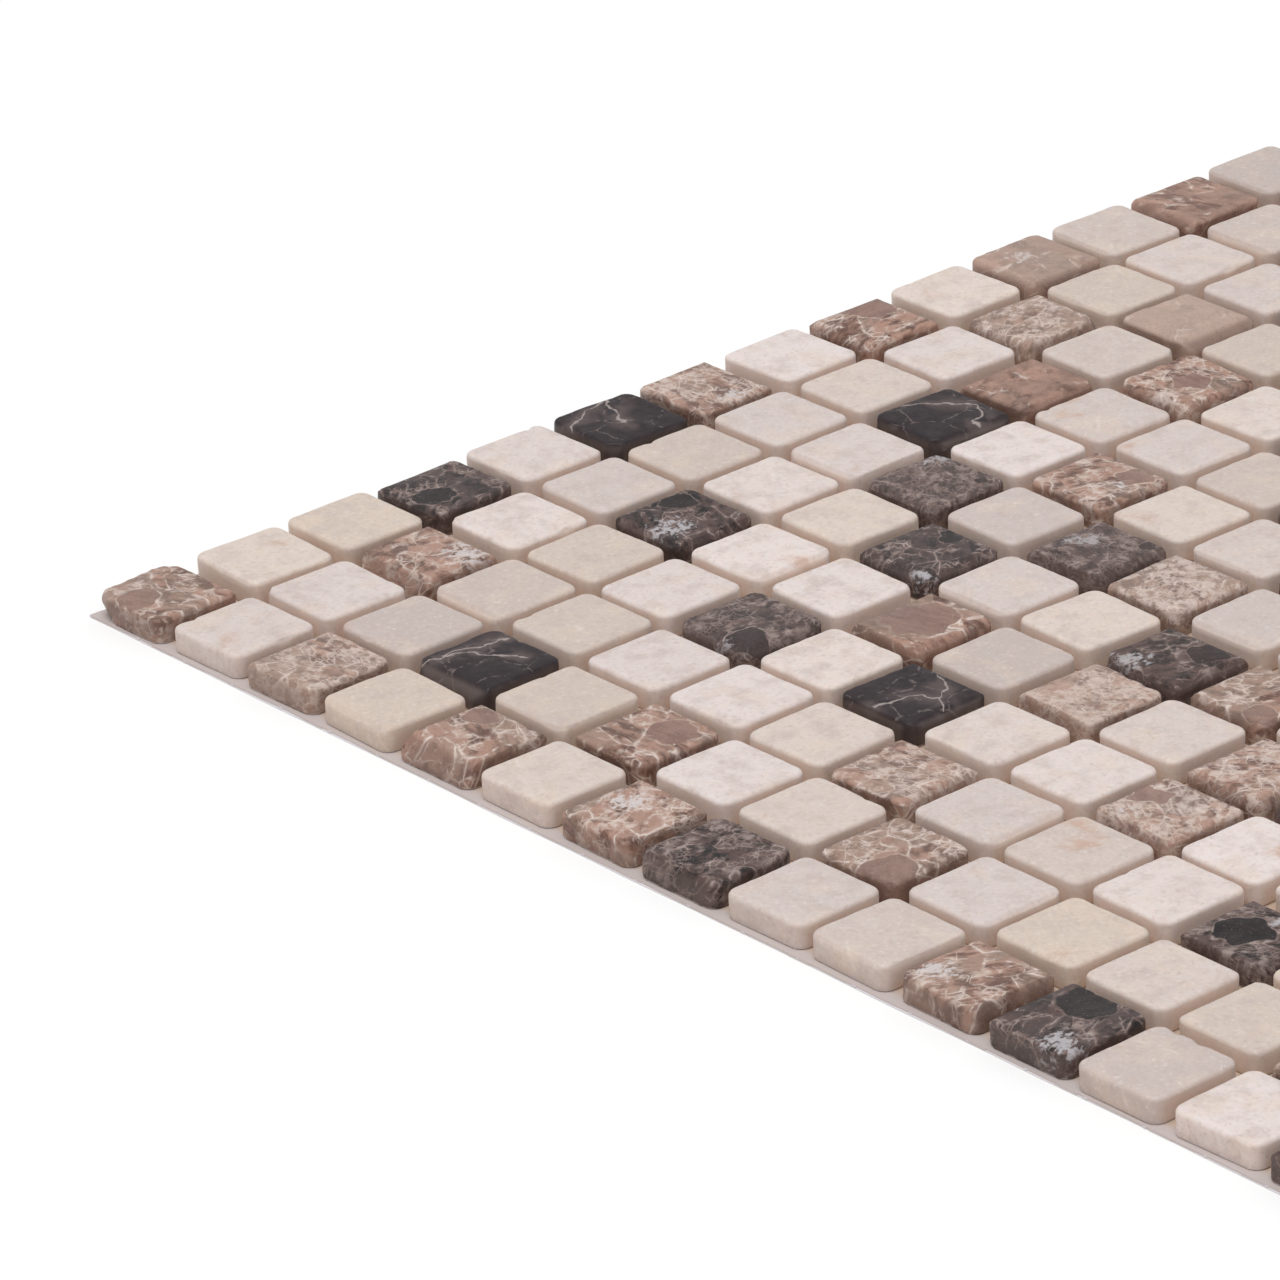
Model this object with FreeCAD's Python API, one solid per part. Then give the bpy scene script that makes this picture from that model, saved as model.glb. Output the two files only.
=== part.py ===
import FreeCAD, Part
import math
import os

# Mosaic tile sheet: square chips of tumbled marble glued to a laid glass-fibre mesh.
# It lies face up. Millimetres, +Z up, origin in the middle of the sheet on the floor.
# The mesh is cut on the middle line of the joint to the next sheet, so it shows half a joint past the chips.
# Columns of chips follow +X and rows follow -Y, so row 0, column 0 is the far left corner.

# Driving dimensions
chips_per_side = 18
chip_side = 15.2
chip_thickness = 4.0
joint_width = 1.74
corner_radius = 2.1
face_edge_radius = 0.9
yarn_width = 0.8
yarn_thickness = 0.2
mesh_opening = 10.0

# Worked-out sizes
chip_pitch = chip_side + joint_width
mesh_side = chips_per_side * chip_pitch
yarn_span = mesh_side - yarn_width
yarn_count = round(yarn_span / (mesh_opening + yarn_width)) + 1
yarn_pitch = yarn_span / (yarn_count - 1)
warp_bottom = 0.0
weft_bottom = warp_bottom + yarn_thickness
chip_bottom = weft_bottom + yarn_thickness

# Setting plan: for each row, the columns that take a darker stone. The rest are cream.
light_brown_places = {
    0: (0, 6, 8, 10, 12, 17),
    1: (2, 9, 13),
    2: (0, 8, 10, 12),
    3: (9, 14, 17),
    4: (0, 7, 10, 16),
    5: (1, 4, 12, 15),
    6: (0, 6, 11),
    7: (2, 4, 9, 14, 16),
    8: (1, 5, 8, 12),
    9: (3, 4, 7, 15),
    10: (0, 6, 10, 14, 17),
    11: (11,),
    12: (3, 7, 12, 15),
    13: (1, 6, 17),
    14: (5, 8, 11, 16),
    15: (1, 10, 14),
    16: (4, 7, 13),
    17: (0, 6, 9, 15),
}
dark_brown_places = {
    0: (3,),
    1: (16,),
    2: (4,),
    3: (6,),
    4: (3, 5, 13),
    5: (6,),
    6: (8, 17),
    7: (0, 5),
    8: (10,),
    9: (13,),
    10: (4,),
    11: (0, 2, 16),
    13: (9,),
    14: (0, 3, 13),
    16: (11,),
    17: (4,),
}
black_places = {
    0: (5, 14),
    2: (7, 15),
    3: (1, 11),
    5: (9,),
    6: (3, 13),
    7: (7,),
    8: (17,),
    10: (12,),
    11: (8,),
    12: (5,),
    13: (14,),
    15: (7,),
    16: (2, 16),
}


def stone_at(row, column):
    """The kind of marble set at one place of the sheet."""
    if column in light_brown_places.get(row, ()):
        return "light_brown"
    if column in dark_brown_places.get(row, ()):
        return "dark_brown"
    if column in black_places.get(row, ()):
        return "black"
    return "cream"


def straight_cut(radius):
    """Leg of the straight chamfer that takes off as much stone as a rounding of this radius."""
    return radius * math.sqrt(2 - math.pi / 2)


def chip():
    """One tumbled chip about the Z axis: worn corners, worn edges round its face, sawn back."""
    half = chip_side / 2
    corner = FreeCAD.Vector(-half, -half, chip_bottom)
    blank = Part.makeBox(chip_side, chip_side, chip_thickness, corner)
    upright = [edge for edge in blank.Edges if edge.BoundBox.ZLength > chip_thickness / 2]
    prism = blank.makeChamfer(straight_cut(corner_radius), upright)
    face_height = chip_bottom + chip_thickness
    face_edges = [edge for edge in prism.Edges if edge.BoundBox.ZMin > face_height - face_edge_radius / 2]
    return prism.makeChamfer(straight_cut(face_edge_radius), face_edges)


def chips_of(stone):
    """Every chip of one kind of marble, each a solid of its own at its place in the grid."""
    pattern = chip()
    middle = (chips_per_side - 1) / 2
    chips = []
    for row in range(chips_per_side):
        for column in range(chips_per_side):
            if stone_at(row, column) != stone:
                continue
            place = FreeCAD.Vector((column - middle) * chip_pitch, (middle - row) * chip_pitch, 0)
            chips.append(pattern.translated(place))
    return chips


def yarn_offsets():
    """Middle lines of the parallel yarns of one layer, the outer two along the cut edges of the mesh."""
    middle = (yarn_count - 1) / 2
    return [(number - middle) * yarn_pitch for number in range(yarn_count)]


def warp_yarns():
    """Lower layer of the mesh: flat glass yarns along Y, lying on the floor."""
    return [
        Part.makeBox(
            yarn_width, mesh_side, yarn_thickness,
            FreeCAD.Vector(offset - yarn_width / 2, -mesh_side / 2, warp_bottom),
        )
        for offset in yarn_offsets()
    ]


def weft_yarns():
    """Upper layer of the mesh: flat glass yarns along X, laid on the warp and under the chips."""
    return [
        Part.makeBox(
            mesh_side, yarn_width, yarn_thickness,
            FreeCAD.Vector(-mesh_side / 2, offset - yarn_width / 2, weft_bottom),
        )
        for offset in yarn_offsets()
    ]


def save(node, solids):
    """Write the solids of one node, which stay apart from each other, as one STEP file."""
    Part.makeCompound(solids).exportStep(f"parts/{node}.step")


os.makedirs("parts", exist_ok=True)
save("mesh_warp_yarns", warp_yarns())
save("mesh_weft_yarns", weft_yarns())
save("cream_chips", chips_of("cream"))
save("light_brown_chips", chips_of("light_brown"))
save("dark_brown_chips", chips_of("dark_brown"))
save("black_chips", chips_of("black"))
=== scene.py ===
import math

import bpy
import numpy as np
from mathutils import Matrix, Vector


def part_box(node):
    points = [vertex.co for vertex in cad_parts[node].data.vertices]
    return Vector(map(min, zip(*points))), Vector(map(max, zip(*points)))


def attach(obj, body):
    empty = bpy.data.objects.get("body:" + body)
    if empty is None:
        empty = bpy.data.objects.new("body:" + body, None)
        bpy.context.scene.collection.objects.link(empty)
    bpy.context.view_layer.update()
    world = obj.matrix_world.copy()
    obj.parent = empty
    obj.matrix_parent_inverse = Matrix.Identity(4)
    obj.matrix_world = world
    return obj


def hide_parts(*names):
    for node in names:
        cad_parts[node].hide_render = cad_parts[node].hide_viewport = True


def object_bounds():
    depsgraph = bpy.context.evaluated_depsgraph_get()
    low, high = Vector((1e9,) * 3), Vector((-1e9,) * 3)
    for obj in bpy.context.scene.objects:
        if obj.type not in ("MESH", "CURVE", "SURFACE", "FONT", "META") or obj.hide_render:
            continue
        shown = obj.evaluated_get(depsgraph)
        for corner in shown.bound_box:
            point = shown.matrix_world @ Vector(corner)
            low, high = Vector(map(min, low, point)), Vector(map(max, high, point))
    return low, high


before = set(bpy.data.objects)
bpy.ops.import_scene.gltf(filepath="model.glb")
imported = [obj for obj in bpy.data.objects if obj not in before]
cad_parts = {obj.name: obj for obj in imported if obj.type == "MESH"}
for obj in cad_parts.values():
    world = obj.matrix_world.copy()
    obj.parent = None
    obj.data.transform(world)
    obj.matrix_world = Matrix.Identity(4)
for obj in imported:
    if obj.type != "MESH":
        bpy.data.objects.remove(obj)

cad_low, cad_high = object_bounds()
mm = 0.001

# Backing mesh, lower layer. A real scrim's warp is untwisted glass roving, pulled flat by the rollers
# that laid it and stiffened by a resin bath, so each yarn is a thin lens in section that wanders a little.
yarn_width = 0.8 * mm
yarn_count = 29
yarn_station = 3.5 * mm
yarn_sides = 10
# The middle line wanders in a long and a short wave, and the width changes in a third. Lengths per radian.
yarn_wander = 0.12 * mm
long_wave = 11 * mm
short_wave = 4.3 * mm
short_wave_share = 0.6
width_wave = 6 * mm
width_change = 0.12


def linear(code):
    """An sRGB hex colour as the linear RGBA that the shaders take."""
    parts = [int(code[at:at + 2], 16) / 255 for at in (0, 2, 4)]
    return [part / 12.92 if part <= 0.04045 else ((part + 0.055) / 1.055) ** 2.4 for part in parts] + [1.0]


def add(tree, kind, inputs=None, **settings):
    """Adds one shader node: settings are its properties, inputs its values or the outputs it takes."""
    node = tree.nodes.new("ShaderNode" + kind)
    for name, value in settings.items():
        setattr(node, name, value)
    for name, value in (inputs or {}).items():
        if isinstance(value, bpy.types.NodeSocket):
            tree.links.new(value, node.inputs[name])
        else:
            node.inputs[name].default_value = value
    return node


def new_material(name):
    """An empty material and the tree to fill."""
    material = bpy.data.materials.new(name)
    material.use_nodes = True
    material.node_tree.nodes.clear()
    return material, material.node_tree


def blend(tree, share, first, second):
    """Two colours mixed by a share of the second."""
    return add(tree, "Mix", {0: share, 6: first, 7: second}, data_type="RGBA").outputs[2]


def glass_roving():
    """Glass roving set in clear resin: bright grey-white, speckled with painted glints of its filaments, a
    dull gloss.
    """
    material, tree = new_material("resin_bound_glass_roving")
    place = add(tree, "TexCoord").outputs["Object"]
    # Filaments are 0.01 mm thick. Their glints are painted into the colour as specks 0.15 mm wide, so that
    # they show at all.
    glint_specks = add(tree, "TexNoise", {"Vector": place, "Scale": 1 / (0.15 * mm), "Detail": 2.0}).outputs["Fac"]
    shade = blend(tree, glint_specks, linear("d6d1d8"), linear("f4f1f6"))
    relief = add(tree, "Bump", {"Height": glint_specks, "Strength": 0.5, "Distance": 0.03 * mm})
    surface = add(tree, "BsdfPrincipled", {
        "Base Color": shade, "Normal": relief.outputs["Normal"], "Roughness": 0.5, "IOR": 1.52,
    })
    add(tree, "OutputMaterial", {"Surface": surface.outputs[0]})
    return material


def lay_yarns(name, node, along, material, seed):
    """One layer of yarns over the CAD strips of a node. along is 0 for yarns along X, 1 for along Y."""
    low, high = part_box(node)
    rng = np.random.default_rng(seed)
    across = 1 - along
    thickness = high[2] - low[2]
    pitch = (high[across] - low[across] - yarn_width) / (yarn_count - 1)
    stations = round((high[along] - low[along]) / yarn_station) + 1
    run = np.linspace(low[along], high[along], stations)
    turn = np.linspace(0, 2 * math.pi, yarn_sides, endpoint=False)
    points, faces = [], []
    for number in range(yarn_count):
        middle = low[across] + yarn_width / 2 + number * pitch
        start = len(points)
        bend = rng.uniform(0, 2 * math.pi, 3)
        for step, at in enumerate(run):
            drift = math.sin(at / long_wave + bend[0])
            drift += short_wave_share * math.sin(at / short_wave + bend[1])
            drift *= yarn_wander / (1 + short_wave_share)
            half = yarn_width / 2 * (1 + width_change * math.sin(at / width_wave + bend[2]))
            for angle in turn:
                point = [0.0, 0.0, (low[2] + high[2]) / 2 + thickness / 2 * math.sin(angle)]
                point[along] = at
                point[across] = middle + drift + half * math.cos(angle)
                points.append(point)
            if step:
                ring = start + (step - 1) * yarn_sides
                for side in range(yarn_sides):
                    following = (side + 1) % yarn_sides
                    faces.append((ring + side, ring + following,
                                  ring + yarn_sides + following, ring + yarn_sides + side))
        end = len(points) - yarn_sides
        faces.append(tuple(range(start, start + yarn_sides))[::-1])
        faces.append(tuple(range(end, end + yarn_sides)))
    if along == 1:
        faces = [face[::-1] for face in faces]
    shape = bpy.data.meshes.new(name)
    shape.from_pydata(points, [], faces)
    shape.polygons.foreach_set("use_smooth", [len(face) == 4 for face in faces])
    shape.materials.append(material)
    yarns = bpy.data.objects.new(name, shape)
    bpy.context.scene.collection.objects.link(yarns)
    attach(yarns, "root")
    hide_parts(node)


roving = glass_roving()
lay_yarns("warp_rovings", "mesh_warp_yarns", 1, roving, seed=11)

# Backing mesh, upper layer. The weft is the same roving, laid across the warp and bonded to it by the
# resin at every crossing. The stones are glued down on it.
lay_yarns("weft_rovings", "mesh_weft_yarns", 0, roving, seed=12)

# Adhesive. A white dispersion glue rolled on the mesh: the stones pressed it out under the joints and
# along the borders, where it dried to a milky skin with wavy edges.
chips_per_side = 18
chip_side = 15.2 * mm
joint_width = 1.74 * mm
chip_pitch = chip_side + joint_width
glue_reach = 1.3 * mm
glue_station = 4.0 * mm
glue_inset = 0.02 * mm
glue_raggedness = 0.12 * mm
skin_thickness = 0.27 * mm


def combine(tree, operation, first, second):
    """One sum on two numbers."""
    return add(tree, "Math", {0: first, 1: second}, operation=operation).outputs[0]


def off_border(tree, full, none):
    """1 between the chips, dying away to 0 at their outer walls; full and none are how far in from there."""
    place = add(tree, "VectorMath", {0: add(tree, "TexCoord").outputs["Object"]}, operation="ABSOLUTE")
    parts = add(tree, "SeparateXYZ", {0: place.outputs[0]}).outputs
    outward = combine(tree, "MAXIMUM", parts[0], parts[1])
    wall = cad_high[0] - joint_width / 2
    share = add(tree, "MapRange", {"Value": outward, 1: wall - full, 2: wall - none, 3: 1.0, 4: 0.0})
    return share.outputs[0]


def dried_adhesive():
    """Dried dispersion glue: milky and dull, its top painted greyer as shade, buff between the chips as stone
    dust and as painted joint shade.
    """
    material, tree = new_material("dried_dispersion_adhesive")
    height = add(tree, "SeparateXYZ", {0: add(tree, "TexCoord").outputs["Object"]}).outputs[2]
    # The narrow sides of a skin keep the glue's pale colour. Its top is painted greyer as shade, and buff
    # between the chips, as stone dust and as painted joint shade.
    upper = add(tree, "MapRange", {"Value": height, 1: 0.25 * mm, 2: 0.38 * mm}).outputs[0]
    dust_and_shade_on_glue = combine(tree, "MULTIPLY", upper, off_border(tree, 2.5 * mm, 0.8 * mm))
    shade = blend(tree, upper, linear("dcd5d6"), linear("c9bebb"))
    shade = blend(tree, dust_and_shade_on_glue, shade, linear("c6b09d"))
    surface = add(tree, "BsdfPrincipled", {"Base Color": shade, "Roughness": 0.6, "IOR": 1.47})
    add(tree, "OutputMaterial", {"Surface": surface.outputs[0]})
    return material


def press_out_glue(name, along, bottom, seed):
    """The skins of glue under all joints that run one way, and under the two borders beside them."""
    rng = np.random.default_rng(seed)
    top = bottom + skin_thickness
    limit = cad_high[0] - glue_inset
    points, faces = [], []
    stations = round(2 * limit / glue_station) + 1
    for line in range(chips_per_side + 1):
        middle = (line - chips_per_side / 2) * chip_pitch
        start = len(points)
        for step, at in enumerate(np.linspace(-limit, limit, stations)):
            reach = joint_width / 2 + glue_reach * rng.uniform(0.6, 1.2, 2)
            edge = limit - rng.uniform(0, glue_raggedness)
            sides = np.clip((middle - reach[0], middle + reach[1]), -edge, edge)
            for side, height in ((0, bottom), (1, bottom), (1, top), (0, top)):
                points.append((at, sides[side], height) if along == 0 else (sides[side], at, height))
            if step:
                ring = start + (step - 1) * 4
                faces += [(ring + side, ring + (side + 1) % 4, ring + 4 + (side + 1) % 4, ring + 4 + side)
                          for side in range(4)]
        end = len(points) - 4
        faces += [(start + 3, start + 2, start + 1, start), (end, end + 1, end + 2, end + 3)]
    if along == 0:
        faces = [face[::-1] for face in faces]
    shape = bpy.data.meshes.new(name)
    shape.from_pydata(points, [], faces)
    shape.materials.append(adhesive)
    skins = bpy.data.objects.new(name, shape)
    bpy.context.scene.collection.objects.link(skins)
    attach(skins, "root")
    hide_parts("mesh_warp_yarns", "mesh_weft_yarns")


adhesive = dried_adhesive()
# One set lies a little higher than the other, so that they share no plane where they cross.
press_out_glue("adhesive_under_row_joints", 0, 0.14 * mm, seed=21)
press_out_glue("adhesive_under_column_joints", 1, 0.16 * mm, seed=22)

# Cream chips. Squares of dense cream marble, sawn, then tumbled in a drum with water and grit, which rounds
# every edge and leaves a soft satin skin. Each is glued to the mesh by its sawn back.
corner_radius = 1.85 * mm
face_edge_radius = 0.7 * mm
back_edge_radius = 0.4 * mm
# The middle of the face stands this much above its rim, because grit wears a stone most near its edges.
face_crown = 0.12 * mm
crown_power = 4
# Rings of points: degrees round the back edge and the rim, shares of the wall's height and of the face.
back_angles = (0, 45, 90)
wall_shares = (0.35, 0.7)
rim_angles = (0, 18, 36, 54, 72, 90)
face_shares = (0.93, 0.8, 0.58, 0.3)


def rounded_square(half, radius, side_steps, corner_steps):
    """Points round a square with rounded corners, anticlockwise, and their outward directions."""
    points, outward = [], []
    for quarter in range(4):
        spin = np.array([[math.cos(quarter * math.pi / 2), -math.sin(quarter * math.pi / 2)],
                         [math.sin(quarter * math.pi / 2), math.cos(quarter * math.pi / 2)]])
        straight = half - radius
        for step in range(side_steps):
            points.append(spin @ (half, -straight + 2 * straight * step / side_steps))
            outward.append(spin @ (1, 0))
        for step in range(corner_steps):
            angle = math.pi / 2 * step / corner_steps
            ray = np.array((math.cos(angle), math.sin(angle)))
            points.append(spin @ (np.array((straight, straight)) + radius * ray))
            outward.append(spin @ ray)
    return np.array(points), np.array(outward)


def worn_chip(thickness, side_steps, corner_steps):
    """The shape that all chips of a kind start from: rings of points from the back up to a crowned face."""
    outline, outward = rounded_square(chip_side / 2, corner_radius, side_steps, corner_steps)
    count = len(outline)
    rim_top = thickness - face_crown
    profile = [(back_edge_radius * (1 - math.sin(angle)), back_edge_radius * (1 - math.cos(angle)))
               for angle in np.radians(back_angles)]
    wall = rim_top - face_edge_radius - back_edge_radius
    profile += [(0.0, back_edge_radius + wall * share) for share in wall_shares]
    profile += [(face_edge_radius * (1 - math.cos(angle)), rim_top - face_edge_radius * (1 - math.sin(angle)))
                for angle in np.radians(rim_angles)]
    rings = [np.column_stack((outline - inset * outward, np.full(count, height)))
             for inset, height in profile]
    face_outline = rings[-1][:, :2]
    for share in face_shares:
        height = thickness - face_crown * share ** crown_power
        rings.append(np.column_stack((face_outline * share, np.full(count, height))))
    points = np.vstack(rings + [[(0, 0, thickness)]])
    faces = [tuple(range(count))[::-1]]
    for ring in range(len(rings) - 1):
        for at in range(count):
            following = (at + 1) % count
            faces.append((ring * count + at, ring * count + following,
                          (ring + 1) * count + following, (ring + 1) * count + at))
    last = (len(rings) - 1) * count
    faces += [(last + at, last + (at + 1) % count, len(points) - 1) for at in range(count)]
    return points, faces


def waves(points, rng, wavelength, height):
    """A smooth uneven field over the points: a third of the sum of six sine waves in random directions."""
    field = np.zeros(len(points))
    for _ in range(6):
        way = rng.normal(size=3)
        way /= np.linalg.norm(way)
        length = wavelength * rng.uniform(0.7, 1.5)
        field += np.sin(points @ way * 2 * math.pi / length + rng.uniform(0, 6.3))
    return height * field / 3


# Bruises and nicks sit on the rim, a little inside the square. Past this share of a side they face a corner.
rim_inset = 0.3 * mm
corner_share = 0.85
# A bruise is nearly plane: this share of what stood out there is gone.
bruise_flatness = 0.9


def rim_point(rng, thickness):
    """A random point on the upper rim of a chip and the way out from there."""
    side = rng.integers(4)
    along = rng.uniform(-1, 1)
    edge = np.array(((1, along), (-1, along), (along, 1), (along, -1))[side])
    away = np.where(np.abs(edge) > corner_share, edge, 0)
    point = np.array((*(edge * (chip_side / 2 - rim_inset)), thickness - rim_inset))
    way = np.array((*away, rng.uniform(0.2, 1.2)))
    return point, way / np.linalg.norm(way)


def knock(shape, middle, way, depth):
    """Flattens what stands out furthest one way, down to a nearly plane bruise of this depth."""
    over = (shape - middle) @ way
    return shape - np.outer(np.clip(over - over.max() + depth, 0, None) * bruise_flatness, way)


# A stone keeps at least this share of its sawn side, and ends up a little out of square.
least_side = 0.98
most_skew = 0.012
# Its skin is uneven in waves, each with a length and a share of the full unevenness. Its back stays flat.
skin_waves = ((7 * mm, 1.0), (2.5 * mm, 0.4), (1.6 * mm, 0.35))
flat_back = 0.8 * mm
# A nick is the print of a ball of this size, its middle this share of the radius off the rim.
nick_radii = (0.7 * mm, 1.6 * mm)
nick_offsets = (0.55, 0.95)


def tumble(points, thickness, rng, unevenness, knocks, knock_depth, nicks):
    """One stone's own wear: out of square, an uneven skin, flat bruises and small nicks at its rim."""
    shape = points * (rng.uniform(least_side, 1.0), rng.uniform(least_side, 1.0), 1)
    shape[:, 0] += shape[:, 1] * rng.uniform(-most_skew, most_skew)
    middle = np.array((0, 0, thickness / 2))
    # The high power turns the way from the middle into the way out of the side that a point lies on.
    away = (shape - middle) / (chip_side / 2, chip_side / 2, thickness / 2)
    skin = np.abs(away) ** 6 * np.sign(away)
    skin /= np.linalg.norm(skin, axis=1)[:, None] + 1e-9
    above_back = np.clip(shape[:, 2] / flat_back, 0, 1)
    dent = sum(waves(shape, rng, length, unevenness * share) for length, share in skin_waves)
    shape += skin * (dent * above_back)[:, None]
    for _ in range(rng.poisson(knocks)):
        _, way = rim_point(rng, thickness)
        shape = knock(shape, middle, way, knock_depth * rng.uniform(0.2, 1.0))
    for _ in range(rng.poisson(nicks)):
        point, way = rim_point(rng, thickness)
        radius = rng.uniform(*nick_radii)
        centre = point + way * radius * rng.uniform(*nick_offsets)
        apart = shape - centre
        distance = np.linalg.norm(apart, axis=1)
        inside = distance < radius
        shape[inside] = centre + apart[inside] * (radius / np.maximum(distance[inside], 1e-6))[:, None]
    return shape


def places_of(node):
    """The (row, column) places on the sheet that a node's CAD chips take."""
    size = len(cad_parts[node].data.vertices)
    corners = np.zeros(size * 3)
    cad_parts[node].data.vertices.foreach_get("co", corners)
    corners = corners.reshape(-1, 3)
    half = chips_per_side / 2
    columns = np.floor(corners[:, 0] / chip_pitch + half).astype(int)
    rows = np.floor(half - corners[:, 1] / chip_pitch).astype(int)
    return sorted(set(zip(rows.tolist(), columns.tolist())))


# The chip in the far left corner is worn hard, lost a corner, more of it below than above, and was glued
# nearer the edge. Wear is the skin's unevenness, the mean number of bruises, their greatest depth and the
# mean number of nicks.
hard_worn = {(0, 0): (0.16 * mm, 4, 0.8 * mm, 8)}
lost_corners = {(0, 0): (((-0.8, 0.45, -0.4), 1.2 * mm), ((-0.66, 0.42, 0.62), 0.75 * mm))}
glued_off = {(0, 0): (-0.55 * mm, 0.1 * mm)}
# How much the chips differ in thickness, and how far off they were glued. A block is metres wide.
thickness_spread = 0.05 * mm
shift_spread = 0.12 * mm
turn_spread = math.radians(0.7)
block_reach = 2


def set_chips(name, node, places, material, pattern, seed, wear, traits_of):
    """Sets the chips at these places, each worn in its own way and cut from its own place in the block."""
    low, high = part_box(node)
    thickness = high[2] - low[2]
    points, faces = pattern
    all_points, all_faces, marks = [], [], {}
    for row, column in places:
        rng = np.random.default_rng((seed, row, column))
        worn = tumble(points, thickness, rng, *hard_worn.get((row, column), wear))
        for way, depth in lost_corners.get((row, column), ()):
            worn = knock(worn, (0, 0, thickness / 2), way, depth)
        growth = rng.uniform(-thickness_spread, thickness_spread)
        worn[:, 2] += growth * np.clip(worn[:, 2] / thickness, 0, 1)
        from_block = np.array(Matrix.Rotation(rng.uniform(0, 2 * math.pi), 3, Vector(rng.normal(size=3))))
        in_block = worn @ from_block.T + rng.uniform(-block_reach, block_reach, 3)
        traits = {"block_place": in_block, "chip_place": worn}
        traits.update(traits_of(row, column, rng))
        for mark, value in traits.items():
            marks.setdefault(mark, []).append(np.broadcast_to(value, worn.shape))
        spin = np.array(Matrix.Rotation(rng.normal(0, turn_spread), 3, "Z"))
        middle = (chips_per_side - 1) / 2
        seat = ((column - middle) * chip_pitch + rng.normal(0, shift_spread),
                (middle - row) * chip_pitch + rng.normal(0, shift_spread), low[2])
        seat += np.array((*glued_off.get((row, column), (0, 0)), 0))
        start = len(points) * len(all_points)
        all_points.append(worn @ spin.T + seat)
        all_faces += [tuple(start + corner for corner in face) for face in faces]
    shape = bpy.data.meshes.new(name)
    shape.from_pydata(np.vstack(all_points).tolist(), [], all_faces)
    shape.shade_smooth()
    for mark, values in marks.items():
        layer = shape.attributes.new(mark, "FLOAT_VECTOR", "POINT")
        layer.data.foreach_set("vector", np.vstack(values).ravel())
    shape.materials.append(material)
    chips = bpy.data.objects.new(name, shape)
    bpy.context.scene.collection.objects.link(chips)
    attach(chips, "root")
    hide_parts(node)


def marked(tree, name):
    """A value that set_chips left on the points of a chip."""
    return add(tree, "Attribute", attribute_name=name).outputs["Vector"]


def ramp(tree, value, start, end, low=0.0, high=1.0):
    """A value eased from low to high while it runs from start to end."""
    return add(tree, "MapRange", {"Value": value, 1: start, 2: end, 3: low, 4: high},
               interpolation_type="SMOOTHSTEP").outputs[0]


def grain(tree, place, size, detail=3.0, roughness=0.55):
    """Noise of this grain size at a place in the block."""
    return add(tree, "TexNoise", {"Vector": place, "Scale": 1 / size, "Detail": detail,
                                  "Roughness": roughness}).outputs["Fac"]


def wall_shade_share(tree, share):
    """How much painted shade a chip's walls take: 0 on the face, up to this share down its walls, and less
    round the worn corners, where more light gets in.
    """
    place = marked(tree, "chip_place")
    height = add(tree, "SeparateXYZ", {0: place}).outputs[2]
    below_face = ramp(tree, height, 3.8 * mm, 2.9 * mm, 0.0, share)
    # |x| + |y| grows towards a corner. Its rounding runs from 13.35 mm to 14.1 mm.
    outward = add(tree, "VectorMath", {0: place}, operation="ABSOLUTE").outputs[0]
    parts = add(tree, "SeparateXYZ", {0: outward}).outputs
    off_corner = ramp(tree, combine(tree, "ADD", parts[0], parts[1]), 12.4 * mm, 13.8 * mm, 1.0, 0.4)
    return combine(tree, "MULTIPLY", below_face, off_corner)


def joint_wall_dust_and_shade(tree, share):
    """How much a wall in a joint is tinted, as stone dust and as painted joint shade: none on the face and
    the borders, up to this share in a joint.
    """
    between = off_border(tree, chip_side * 0.06, chip_side * 0.02)
    return combine(tree, "MULTIPLY", wall_shade_share(tree, share), between)


def glued_back(tree, body):
    """The colour of a chip with smears of the white glue on its sawn back."""
    height = add(tree, "SeparateXYZ", {0: marked(tree, "chip_place")}).outputs[2]
    smears = ramp(tree, grain(tree, marked(tree, "block_place"), 3.5 * mm), 0.44, 0.54, 0.0, 0.85)
    smears = combine(tree, "MULTIPLY", ramp(tree, height, 0.4 * mm, 0.1 * mm), smears)
    return blend(tree, smears, body, linear("ded6d4"))


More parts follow.
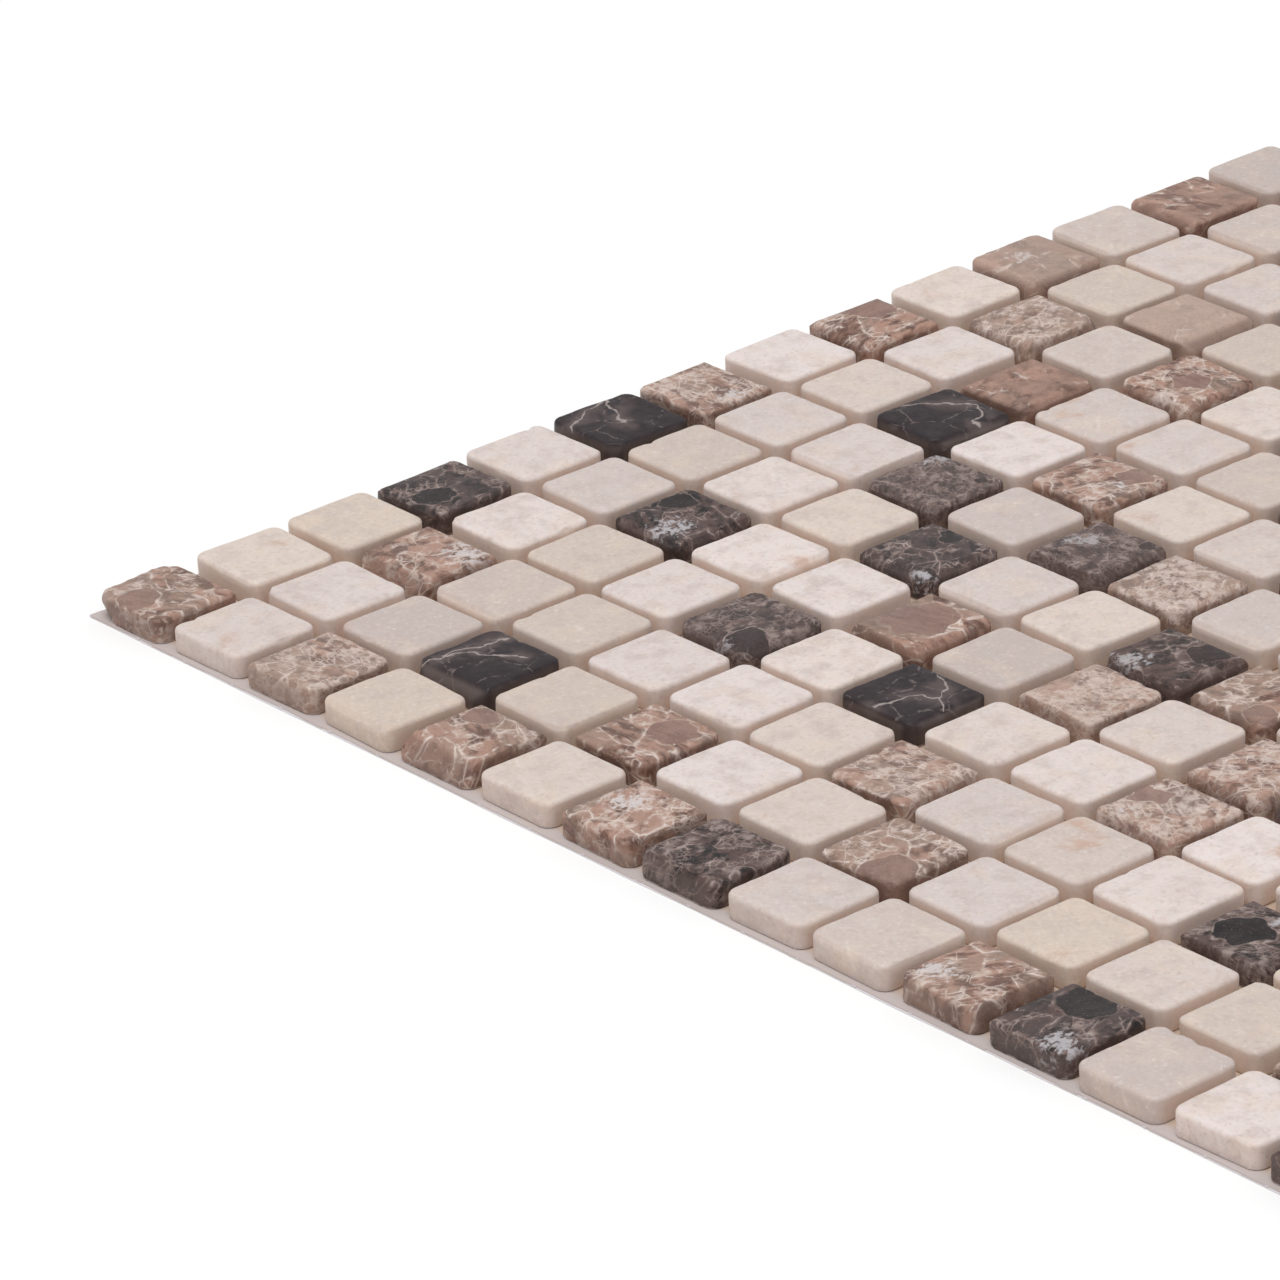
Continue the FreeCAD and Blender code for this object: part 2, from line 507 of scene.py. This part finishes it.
def cream_marble():
    """Tumbled cream marble: pale pinkish body, faint clouds, fine crystals and a skin worn to satin."""
    material, tree = new_material("tumbled_cream_marble")
    place = marked(tree, "block_place")
    tone = add(tree, "SeparateXYZ", {0: marked(tree, "tone")}).outputs
    body = blend(tree, tone[0], linear("c2b4ae"), linear("ebdfdc"))
    body = blend(tree, tone[1], body, linear("dac9b9"))
    # Clouds: greyer ones a few millimetres wide, and wider drifts that are warmer.
    clouds = grain(tree, place, 3.5 * mm, 5.0, 0.6)
    body = blend(tree, ramp(tree, clouds, 0.41, 0.72, 0.0, 0.65), body, linear("c5b5ae"))
    warmth = grain(tree, place, 6 * mm, 2.0)
    body = blend(tree, ramp(tree, warmth, 0.5, 0.72, 0.0, 0.4), body, linear("e0cdbc"))
    # Iron stain, rare: a pink to rust bloom a few millimetres wide.
    rust = combine(tree, "MULTIPLY", ramp(tree, grain(tree, place, 11 * mm, 1.0), 0.68, 0.78),
                   ramp(tree, clouds, 0.4, 0.6, 0.15, 0.6))
    body = blend(tree, rust, body, linear("c79f86"))
    # Crystals: grains under a millimetre, some paler and some darker.
    crystals = grain(tree, place, 0.7 * mm, 3.0, 0.65)
    body = blend(tree, ramp(tree, crystals, 0.52, 0.78, 0.0, 0.45), body, linear("f1e8e4"))
    body = blend(tree, ramp(tree, crystals, 0.47, 0.27, 0.0, 0.42), body, linear("b6a398"))
    # Threads: thin pale veins, only where the stone is warm.
    thread = add(tree, "TexVoronoi", {"Vector": place, "Scale": 1 / (13 * mm)}, feature="DISTANCE_TO_EDGE")
    thread = combine(tree, "MULTIPLY", ramp(tree, thread.outputs["Distance"], 0.0, 0.03, 1.0, 0.0),
                     ramp(tree, warmth, 0.6, 0.7, 0.0, 0.3))
    body = blend(tree, thread, body, linear("ece3de"))
    # Walls in the joints are tinted warm, as stone dust and as painted joint shade.
    body = glued_back(tree, blend(tree, joint_wall_dust_and_shade(tree, 0.55), body, linear("ecd6c7")))
    polish = ramp(tree, clouds, 0.3, 0.7, 0.44, 0.6)
    relief = add(tree, "Bump", {"Height": crystals, "Strength": 0.4, "Distance": 0.07 * mm})
    surface = add(tree, "BsdfPrincipled", {
        "Base Color": body, "Roughness": polish, "IOR": 1.49, "Normal": relief.outputs["Normal"],
        "Subsurface Weight": 0.35, "Subsurface Scale": 1.2 * mm, "Subsurface Radius": (1.0, 0.7, 0.5),
    })
    add(tree, "OutputMaterial", {"Surface": surface.outputs[0]})
    return material


# Of the seeds tried, this one puts the lighter and the yellower chips most nearly where the photo shows them.
cream_shade_seed = 4955


def cream_traits(row, column, rng):
    """How light and how yellow one cream chip is."""
    shade = np.random.default_rng((cream_shade_seed, row, column))
    return {"tone": (shade.uniform(0, 1), shade.uniform(0, 1) ** 3 * 0.9, 0)}


# Hard dense stone: flat faces, even rounding, few marks.
cream_wear = (0.045 * mm, 0.7, 0.35 * mm, 0.7)
smooth_pattern = worn_chip(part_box("cream_chips")[1][2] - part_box("cream_chips")[0][2], 12, 5)
cream = cream_marble()
cream_places = places_of("cream_chips")
# A few rows make a piece, so that no piece holds too many triangles.
rows_a_piece = 3
for first_row in range(0, chips_per_side, rows_a_piece):
    last_row = first_row + rows_a_piece
    set_chips(
        f"cream_marble_chips_rows_{first_row + 1}_to_{last_row}", "cream_chips",
        [place for place in cream_places if first_row <= place[0] < last_row],
        cream, smooth_pattern, 101, cream_wear, cream_traits,
    )

# Light brown chips. A brecciated marble: brown stone that broke up in the ground and was knitted together
# again by pale calcite, so nets of cream veins run round brown shards. It bruises and nicks at the edges.

# Shards of three sizes lie among each other. For each: its share of the full size, how broken the stone is
# where it starts to show and where it shows in full, and how much the shades of such shards differ.
shard_levels = ((1.0, -0.3, 0.3, 0.42), (0.45, 0.1, 0.5, 0.45), (0.22, 0.5, 0.9, 0.4))
# The veins round them: the share of the full size, the width, the same two limits and the strength.
widest_vein = 0.23 * mm
vein_levels = (
    (1.0, widest_vein, -0.1, 0.25, 0.95),
    (0.45, 0.17 * mm, 0.25, 0.5, 0.85),
    (0.22, 0.12 * mm, 0.5, 0.8, 0.75),
)


def pushed(tree, place, size, distance, detail=2.0):
    """A place pushed about by noise of this size, up to about this distance."""
    noise = add(tree, "TexNoise", {"Vector": place, "Scale": 1 / size, "Detail": detail}).outputs["Color"]
    centred = add(tree, "VectorMath", {0: noise, 1: (0.5, 0.5, 0.5)}, operation="SUBTRACT").outputs[0]
    scaled = add(tree, "VectorMath", {0: centred, "Scale": 2 * distance}, operation="SCALE").outputs[0]
    return add(tree, "VectorMath", {0: place, 1: scaled}, operation="ADD").outputs[0]


def flattened(tree):
    """The place in a chip's own plane, pushed about so that what is drawn there gets a natural outline."""
    place = pushed(tree, marked(tree, "chip_place"), 3.5 * mm, 1.9 * mm, 1.0)
    place = pushed(tree, place, 0.9 * mm, 0.22 * mm)
    return add(tree, "VectorMath", {0: place, 1: (1, 1, 0)}, operation="MULTIPLY").outputs[0]


def near(tree, place, spot):
    """How far a place in the chip is from a marked spot, in radii of that spot."""
    parts = add(tree, "SeparateXYZ", {0: marked(tree, spot)}).outputs
    centre = add(tree, "CombineXYZ", {0: parts[0], 1: parts[1]}).outputs[0]
    apart = add(tree, "VectorMath", {0: place, 1: centre}, operation="DISTANCE").outputs["Value"]
    return combine(tree, "DIVIDE", apart, parts[2])


def brecciated_marble(name, shard_codes, grey_code, lump_codes, vein_codes, calcite_code, wall_shade_code,
                      shard_size, vein_share, ior):
    """Tumbled breccia: brown shards of many sizes, nets of calcite veins, whole lumps, white patches."""
    material, tree = new_material(name)
    place = marked(tree, "block_place")
    flat = flattened(tree)
    tone = add(tree, "SeparateXYZ", {0: marked(tree, "tone")}).outputs
    # The ground pressed the stone flat while it healed, so its shards are longer two ways than the third.
    bent = pushed(tree, place, 3.0 * mm, 0.5 * mm)
    bent = add(tree, "VectorMath", {0: bent, 1: (1, 0.62, 0.8)}, operation="MULTIPLY").outputs[0]
    # How broken it is changes from place to place round the chip's own brokenness.
    cloud = grain(tree, place, 4.5 * mm, 2.0)
    broken = combine(tree, "ADD", combine(tree, "MULTIPLY", cloud, 2.8),
                     combine(tree, "SUBTRACT", tone[2], 1.4))
    # Body: each shard, large or small, has its own shade, and soft streaks run through them one way.
    drawn = add(tree, "VectorMath", {0: bent, 1: (1.0, 0.22, 0.6)}, operation="MULTIPLY").outputs[0]
    streaks = combine(tree, "ADD", grain(tree, drawn, 0.8 * mm, 3.0), grain(tree, bent, 2.2 * mm, 3.0, 0.5))
    contrast = ramp(tree, broken, -0.3, 0.4, 0.3, 1.0)
    share = combine(tree, "MULTIPLY", ramp(tree, streaks, 0.7, 1.3, -0.34, 0.34), contrast)
    share = combine(tree, "ADD", share, 0.42)
    for scale, start, end, most in shard_levels:
        shards = add(tree, "TexVoronoi", {"Vector": bent, "Scale": 1 / (shard_size * scale)})
        shades = add(tree, "SeparateColor", {0: shards.outputs["Color"]}).outputs
        weight = ramp(tree, broken, start, end, 0, most)
        shift = combine(tree, "MULTIPLY", combine(tree, "SUBTRACT", shades[0], 0.48), weight)
        share = combine(tree, "ADD", share, shift)
        if scale == 1:
            greyness = ramp(tree, combine(tree, "ADD", shades[1], tone[1]), 0.7, 1.3, 0.0, 0.45)
    body = blend(tree, ramp(tree, share, 0.05, 0.7), linear(shard_codes[0]), linear(shard_codes[1]))
    body = blend(tree, greyness, body, linear(grey_code))
    # Matrix: where the stone was ground up, pale matrix took over and crumbs of brown float in it.
    crumbs = grain(tree, bent, 1.1 * mm, 4.0, 0.62)
    pale = combine(tree, "ADD", grain(tree, bent, 2.6 * mm, 4.0, 0.6),
                   combine(tree, "MULTIPLY", broken, 0.35))
    between_crumbs = ramp(tree, crumbs, 0.42, 0.53, 0.1, 1.0)
    cover = combine(tree, "MULTIPLY", ramp(tree, pale, 0.72, 0.96, 0.0, 0.7), between_crumbs)
    # Net: straight-sided veins round the shards, drawn out to hairs in some places and missing in others.
    opened = ramp(tree, grain(tree, place, 2.4 * mm, 1.0), 0.34, 0.66, 0.35, 1.3)
    kept = ramp(tree, grain(tree, place, 3.0 * mm, 2.0), 0.42, 0.52, 0.0, 1.0)
    ragged = combine(tree, "MULTIPLY", combine(tree, "SUBTRACT", crumbs, 0.5), 0.35 * mm)
    for scale, width, start, end, strength in vein_levels:
        size = shard_size * scale
        cells = add(tree, "TexVoronoi", {"Vector": bent, "Scale": 1 / size}, feature="DISTANCE_TO_EDGE")
        gap = combine(tree, "MULTIPLY", cells.outputs["Distance"], size)
        off = combine(tree, "ADD", gap, combine(tree, "MULTIPLY", ragged, width / widest_vein))
        reach = combine(tree, "MULTIPLY", opened, width * vein_share)
        band = ramp(tree, off, combine(tree, "MULTIPLY", reach, 0.3), reach, strength, 0.0)
        haze = ramp(tree, gap, 0.0, combine(tree, "MULTIPLY", reach, 3.5), strength * 0.25, 0.0)
        part = combine(tree, "MULTIPLY", combine(tree, "MAXIMUM", band, haze), ramp(tree, broken, start, end))
        cover = combine(tree, "MAXIMUM", cover, combine(tree, "MULTIPLY", part, kept))
    # Lump: one large shard that stayed whole.
    off_lump = near(tree, flat, "lump")
    whole = ramp(tree, off_lump, 0.93, 1.0, 1.0, 0.0)
    rim = combine(tree, "MULTIPLY", ramp(tree, off_lump, 1.1, 1.02, 0.0, 0.9), opened)
    cover = combine(tree, "MAXIMUM", cover, combine(tree, "MULTIPLY", rim, tone[2]))
    cover = combine(tree, "MULTIPLY", cover, combine(tree, "SUBTRACT", 1.0, whole))
    lump_shade = blend(tree, ramp(tree, streaks, 0.7, 1.3), linear(lump_codes[0]), linear(lump_codes[1]))
    lump_shade = blend(tree, combine(tree, "MULTIPLY", tone[1], 0.3), lump_shade, linear(grey_code))
    body = blend(tree, combine(tree, "MULTIPLY", whole, 0.9), body, lump_shade)
    vein = blend(tree, ramp(tree, crumbs, 0.35, 0.65), linear(vein_codes[0]), linear(vein_codes[1]))
    body = blend(tree, cover, body, vein)
    # Patch: a pocket that filled with clear calcite, milky white, dying away in blots.
    blots = grain(tree, bent, 0.8 * mm, 4.0, 0.6)
    pocket = combine(tree, "ADD", near(tree, flat, "patch"), ramp(tree, blots, 0.3, 0.7, 0.9, -0.9))
    body = blend(tree, ramp(tree, pocket, 1.2, 0.3, 0.0, 0.8), body, linear(calcite_code))
    body = blend(tree, combine(tree, "MULTIPLY", tone[0], 0.6), body, linear(vein_codes[0]))
    fine = grain(tree, place, 0.4 * mm, 3.0, 0.65)
    body = blend(tree, ramp(tree, fine, 0.56, 0.78, 0.0, 0.3), body, linear(vein_codes[1]))
    body = blend(tree, ramp(tree, fine, 0.44, 0.26, 0.0, 0.45), body, linear(shard_codes[0]))
    # Down its walls a chip is painted toward the colour its walls take in shade.
    body = glued_back(tree, blend(tree, wall_shade_share(tree, 0.5), body, linear(wall_shade_code)))
    height = combine(tree, "ADD", fine, combine(tree, "MULTIPLY", cover, 0.8))
    relief = add(tree, "Bump", {"Height": height, "Strength": 0.6, "Distance": 0.09 * mm})
    polish = ramp(tree, cloud, 0.3, 0.7, 0.38, 0.55)
    surface = add(tree, "BsdfPrincipled", {
        "Base Color": body, "Roughness": polish, "IOR": ior, "Normal": relief.outputs["Normal"],
    })
    add(tree, "OutputMaterial", {"Surface": surface.outputs[0]})
    return material


# Stone that is weaker along its veins: uneven skin, bruised corners, nicked rim.
rough_wear = (0.1 * mm, 4, 0.8 * mm, 5)

# Chips that show their character in full: paleness, how broken up, lump and patch as x, y, radius in mm.
light_brown_characters = {
    (0, 0): (0.1, 0.6, (-4.5, 0.4, 3.0), None), (0, 6): (0.2, 0.85, None, (0.8, -5.3, 1.8)),
    (0, 8): (0.0, 0.5, (2.5, 4.1, 4.0), None), (0, 10): (0.7, -0.1, None, (-1.6, 1.6, 1.8)),
    (0, 12): (0.2, 0.05, None, None), (1, 2): (0.1, 0.6, None, (4.1, -4.1, 3.0)),
    (1, 9): (0.2, 0.85, None, None), (2, 0): (0.3, 0.9, None, None), (2, 8): (0.12, -0.2, None, None),
    (2, 10): (1.1, -0.2, None, None), (3, 9): (0.0, 0.55, (0.0, -0.8, 2.9), None),
    (4, 0): (0.0, 0.5, (4.1, 3.3, 2.5), None), (4, 7): (0.1, 0.6, (4.1, -3.3, 3.0), (0.0, -3.7, 1.2)),
    (5, 1): (0.0, 0.35, (2.5, -2.5, 4.0), None), (5, 4): (0.0, 0.2, (0.0, 0.0, 5.5), None),
    (6, 0): (0.0, 0.65, None, (0.8, 2.5, 2.3)), (6, 6): (0.25, 1.1, None, None),
    (7, 2): (0.2, 0.8, None, None), (7, 4): (0.5, 1.1, None, None),
    (8, 1): (0.0, 0.6, (-4.9, -4.1, 4.0), None), (9, 3): (0.2, 0.95, (0.8, 4.9, 2.8), (-4.5, 4.1, 1.2)),
    (10, 0): (0.1, 0.45, None, (-3.3, 4.9, 2.5)),
}


def breccia_traits(characters):
    """A function that gives the traits of a chip: its listed character or a random one."""
    def traits(row, column, rng):
        paleness, brokenness, lump, patch = characters.get((row, column), (
            rng.uniform(0, 1) ** 3 * 0.7, rng.uniform(0, 1.05),
            (*rng.uniform(-5, 5, 2), rng.uniform(2, 4.5)) if rng.random() < 0.5 else None,
            (*rng.uniform(-6, 6, 2), rng.uniform(1.2, 2.8)) if rng.random() < 0.3 else None,
        ))
        # A chip without a lump or a patch has it far outside.
        nowhere = (99.0, 99.0, 1.0)
        return {"tone": (paleness, rng.uniform(0, 1) ** 1.5, brokenness),
                "lump": np.array(lump or nowhere) * mm, "patch": np.array(patch or nowhere) * mm}
    return traits


rough_pattern = worn_chip(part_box("light_brown_chips")[1][2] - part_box("light_brown_chips")[0][2], 16, 7)
light_brown = brecciated_marble(
    "tumbled_light_brown_marble", shard_codes=("624236", "ae8877"), grey_code="908074",
    lump_codes=("82635a", "96766b"), vein_codes=("c6afa3", "e4d5cc"), calcite_code="d9d2d2",
    wall_shade_code="745a50", shard_size=4.6 * mm, vein_share=1.0, ior=1.49,
)
light_brown_places = places_of("light_brown_chips")
half_of_rows = chips_per_side // 2
for first_row in (0, half_of_rows):
    last_row = first_row + half_of_rows
    set_chips(
        f"light_brown_marble_chips_rows_{first_row + 1}_to_{last_row}", "light_brown_chips",
        [place for place in light_brown_places if first_row <= place[0] < last_row],
        light_brown, rough_pattern, 202, rough_wear, breccia_traits(light_brown_characters),
    )

# Dark brown chips. The same kind of breccia from a darker bed: dark shards, near black lumps and pockets of
# white calcite. They are sawn, tumbled and glued down like the light ones, and wear the same way.
dark_brown_characters = {
    (0, 3): (0.0, 0.5, (-3.7, -1.6, 2.9), None), (2, 4): (0.0, 0.45, (2.5, 4.5, 2.3), (-4.1, -1.6, 2.5)),
    (3, 6): (0.38, 0.9, (5.3, -4.5, 1.2), (5.3, 5.7, 1.5)),
    (4, 3): (0.2, 0.85, (-4.5, -4.1, 3.0), (-7, -2.5, 1.0)),
    (4, 5): (0.0, 0.45, (4.9, 1.2, 2.2), (-6.1, -5.7, 1.2)),
    (5, 6): (0.4, 0.9, (5.7, -4.9, 1.5), (0.4, 3.3, 2.0)),
    (7, 0): (0.0, 0.7, None, None), (7, 5): (0.25, 0.4, (3.3, -2.9, 3.2), (-5.3, 3.7, 2.2)),
    (11, 0): (0.0, 0.45, (4.3, 0.9, 4.3), (-5.3, -4.5, 2.2)),
}
dark_brown = brecciated_marble(
    "tumbled_dark_brown_marble", shard_codes=("110b0b", "5b4642"), grey_code="4a4141",
    lump_codes=("140d10", "20181b"), vein_codes=("76615b", "b2a09a"), calcite_code="c2bec2",
    wall_shade_code="5a4b47", shard_size=3.8 * mm, vein_share=0.75, ior=1.41,
)
set_chips("dark_brown_marble_chips", "dark_brown_chips", places_of("dark_brown_chips"),
          dark_brown, rough_pattern, 303, rough_wear, breccia_traits(dark_brown_characters))

# Black chips. Fine black marble that cracked and healed with pale calcite, so a thin forked vein crosses
# each stone. They are sawn, tumbled and glued down like the others.
vein_bends = 5


def black_marble():
    """Tumbled black marble: near black with a violet-brown cast, one thin forked vein, hairs beside it."""
    material, tree = new_material("tumbled_black_marble")
    place = marked(tree, "block_place")
    # How far a place is from the nearest of the straight runs between the bends of the vein.
    flat = flattened(tree)
    distance = None
    bends = [marked(tree, f"vein_bend_{number + 1}") for number in range(vein_bends)]
    for start, end in zip(bends[:-1], bends[1:]):
        run = add(tree, "VectorMath", {0: end, 1: start}, operation="SUBTRACT").outputs[0]
        apart = add(tree, "VectorMath", {0: flat, 1: start}, operation="SUBTRACT").outputs[0]
        shadow = add(tree, "VectorMath", {0: apart, 1: run}, operation="DOT_PRODUCT").outputs["Value"]
        length = add(tree, "VectorMath", {0: run, 1: run}, operation="DOT_PRODUCT").outputs["Value"]
        share = add(tree, "Math", {0: shadow, 1: length}, operation="DIVIDE", use_clamp=True).outputs[0]
        reached = add(tree, "VectorMath", {0: run, "Scale": share}, operation="SCALE").outputs[0]
        gap = add(tree, "VectorMath", {0: apart, 1: reached}, operation="DISTANCE").outputs["Value"]
        distance = gap if distance is None else combine(tree, "MINIMUM", distance, gap)
    cloud = grain(tree, place, 5 * mm, 3.0)
    mottle = grain(tree, place, 1.1 * mm, 4.0, 0.6)
    body = blend(tree, ramp(tree, mottle, 0.3, 0.7), linear("1b0e13"), linear("2c1e24"))
    # Halo: the stone is paler and browner in places beside the vein, and in clouds elsewhere.
    halo = combine(tree, "MULTIPLY", ramp(tree, distance, 0.2 * mm, 3.4 * mm, 1.0, 0.0),
                   ramp(tree, cloud, 0.4, 0.56))
    body = blend(tree, combine(tree, "MULTIPLY", halo, 0.85), body, linear("5d4f4e"))
    body = blend(tree, ramp(tree, cloud, 0.55, 0.75, 0.0, 0.6), body, linear("463b3a"))
    # Hairs: finer cracks, broken off where the mottle is dark.
    cells = add(tree, "TexVoronoi", {"Vector": pushed(tree, place, 3 * mm, 1.2 * mm), "Scale": 1 / (8 * mm)},
                feature="DISTANCE_TO_EDGE").outputs["Distance"]
    hairs = combine(tree, "MULTIPLY", ramp(tree, cells, 0.004, 0.022, 0.5, 0.0),
                    ramp(tree, mottle, 0.42, 0.6))
    body = blend(tree, hairs, body, linear("8d807b"))
    uneven = ramp(tree, mottle, 0.32, 0.66, 0.3, 1.3)
    vein = ramp(tree, combine(tree, "DIVIDE", distance, uneven), 0.05 * mm, 0.38 * mm, 0.85, 0.0)
    body = blend(tree, vein, body, linear("ab9f9a"))
    # Walls in the joints take a grey-brown tint, as stone dust and as painted joint shade.
    body = blend(tree, joint_wall_dust_and_shade(tree, 0.55), body, linear("796b65"))
    fine = grain(tree, place, 0.35 * mm, 3.0, 0.65)
    body = glued_back(tree, blend(tree, ramp(tree, fine, 0.62, 0.8, 0.0, 0.3), body, linear("6c6263")))
    relief = add(tree, "Bump", {"Height": combine(tree, "ADD", fine, vein), "Strength": 0.55,
                                "Distance": 0.08 * mm})
    surface = add(tree, "BsdfPrincipled", {
        "Base Color": body, "Roughness": ramp(tree, cloud, 0.3, 0.7, 0.42, 0.58), "IOR": 1.47,
        "Normal": relief.outputs["Normal"],
    })
    add(tree, "OutputMaterial", {"Surface": surface.outputs[0]})
    return material


# Bends of the vein in the chips that show it in full, as x, y in mm. A fork doubles back on itself.
black_veins = {
    (0, 5): ((-7.4, 2.1), (-2.5, 4.9), (3.3, 7.2), (-0.8, -0.4), (-1.2, -2.0)),
    (2, 7): ((-1.6, 7.4), (2.5, 3.3), (5.9, -0.4), (4.1, -4.5), (1.2, -6.6)),
    (3, 1): ((-7.0, 6.2), (6.6, 3.3), (-3.4, 5.5), (2.1, 0.0), (3.7, -3.3)),
    (6, 3): ((-7.0, 0.4), (-1.6, -0.4), (1.8, -4.1), (-0.8, -7.8), (6.6, 2.1)),
}
# In the others, in mm: how far out it runs, how far its bends stray, how far its fork ends from a bend.
vein_reach = 8
bend_spread = 3
fork_spread = 6


def black_traits(row, column, rng):
    """Where the vein of a chip bends: as listed, or a random run from edge to edge with a fork."""
    across = np.linspace(-vein_reach, vein_reach, vein_bends)[:, None] * (1, 0)
    across += rng.uniform(-bend_spread, bend_spread, (vein_bends, 2))
    across[-1] = across[1] + rng.uniform(-fork_spread, fork_spread, 2)
    angle = rng.uniform(0, 2 * math.pi)
    turned = across @ np.array(((math.cos(angle), -math.sin(angle)), (math.sin(angle), math.cos(angle))))
    bends = black_veins.get((row, column), turned)
    return {f"vein_bend_{number + 1}": np.array((*bend, 0)) * mm for number, bend in enumerate(bends)}


# Finer stone than the browns: fewer and shallower bruises, fewer nicks.
black_wear = (0.08 * mm, 3, 0.6 * mm, 3)
set_chips("black_marble_chips", "black_chips", places_of("black_chips"),
          black_marble(), rough_pattern, 404, black_wear, black_traits)

# Studio. Not part of the sheet: a plain floor of white paper, an even sky and one broad soft lamp almost
# overhead, as for a catalogue photograph.
floor_side = 6.0
paper_glow = 0.3
sky_level = 0.55
lamp_level = 0.5
lamp_spread = math.radians(40)
lamp_way = Vector((0.25, 0.10, -0.963))

floor_shape = bpy.data.meshes.new("floor")
half_floor = floor_side / 2
floor_shape.from_pydata(
    [(-half_floor, -half_floor, 0), (half_floor, -half_floor, 0),
     (half_floor, half_floor, 0), (-half_floor, half_floor, 0)], [], [(0, 1, 2, 3)])
floor = bpy.data.objects.new("floor", floor_shape)
bpy.context.scene.collection.objects.link(floor)
paper, tree = new_material("white_paper_floor")
# The camera sees the paper as white, with most of the shadow that falls on it. The light that bounces
# off it is dimmer and warmer, as off the glue and dust between the stones.
paper_shadowed = add(tree, "BsdfDiffuse", {"Color": linear("ffffff")})
paper_white = add(tree, "Emission", {"Color": linear("ffffff"), "Strength": 1.0})
paper_seen = add(tree, "MixShader", {0: paper_glow, 1: paper_shadowed.outputs[0], 2: paper_white.outputs[0]})
paper_bounce = add(tree, "BsdfDiffuse", {"Color": linear("d5c8bf")})
rays = add(tree, "LightPath").outputs
looked_at = combine(tree, "MAXIMUM", rays["Is Camera Ray"],
                    combine(tree, "MAXIMUM", rays["Is Glossy Ray"], rays["Is Transmission Ray"]))
paper_surface = add(tree, "MixShader", {0: looked_at, 1: paper_bounce.outputs[0], 2: paper_seen.outputs[0]})
add(tree, "OutputMaterial", {"Surface": paper_surface.outputs[0]})
floor_shape.materials.append(paper)

world = bpy.data.worlds.new("studio")
bpy.context.scene.world = world
world.use_nodes = True
world.node_tree.nodes.clear()
sky = add(world.node_tree, "Background", {"Color": (1, 1, 1, 1), "Strength": sky_level})
add(world.node_tree, "OutputWorld", {"Surface": sky.outputs[0]})

lamp_data = bpy.data.lights.new("soft_lamp", "SUN")
lamp_data.energy = lamp_level * math.pi
lamp_data.angle = lamp_spread
lamp = bpy.data.objects.new("soft_lamp", lamp_data)
lamp.matrix_world = lamp_way.to_track_quat("-Z", "Y").to_matrix().to_4x4()
bpy.context.scene.collection.objects.link(lamp)

# Camera. A long lens from beyond the near left corner, turned and tilted as the photograph's was. It looks
# at a point on the chips' faces, from this far away.
view_heading = math.radians(50.41)
view_elevation = math.radians(25.04)
view_roll = math.radians(-2.69)
view_point = Vector((-108.30, 82.54, 4.4)) * mm
view_distance = 1173.8 * mm
lens_length = 235.40
sensor_width = 36

camera_data = bpy.data.cameras.new("camera")
camera_data.lens = lens_length
camera_data.sensor_width = sensor_width
camera = bpy.data.objects.new("camera", camera_data)
turn = (Matrix.Rotation(view_heading - math.pi / 2, 4, "Z")
        @ Matrix.Rotation(math.pi / 2 - view_elevation, 4, "X")
        @ Matrix.Rotation(view_roll, 4, "Z"))
camera.matrix_world = Matrix.Translation(view_point + turn.to_3x3() @ Vector((0, 0, view_distance))) @ turn
bpy.context.scene.collection.objects.link(camera)
bpy.context.scene.camera = camera
bpy.context.scene.view_settings.view_transform = "Standard"
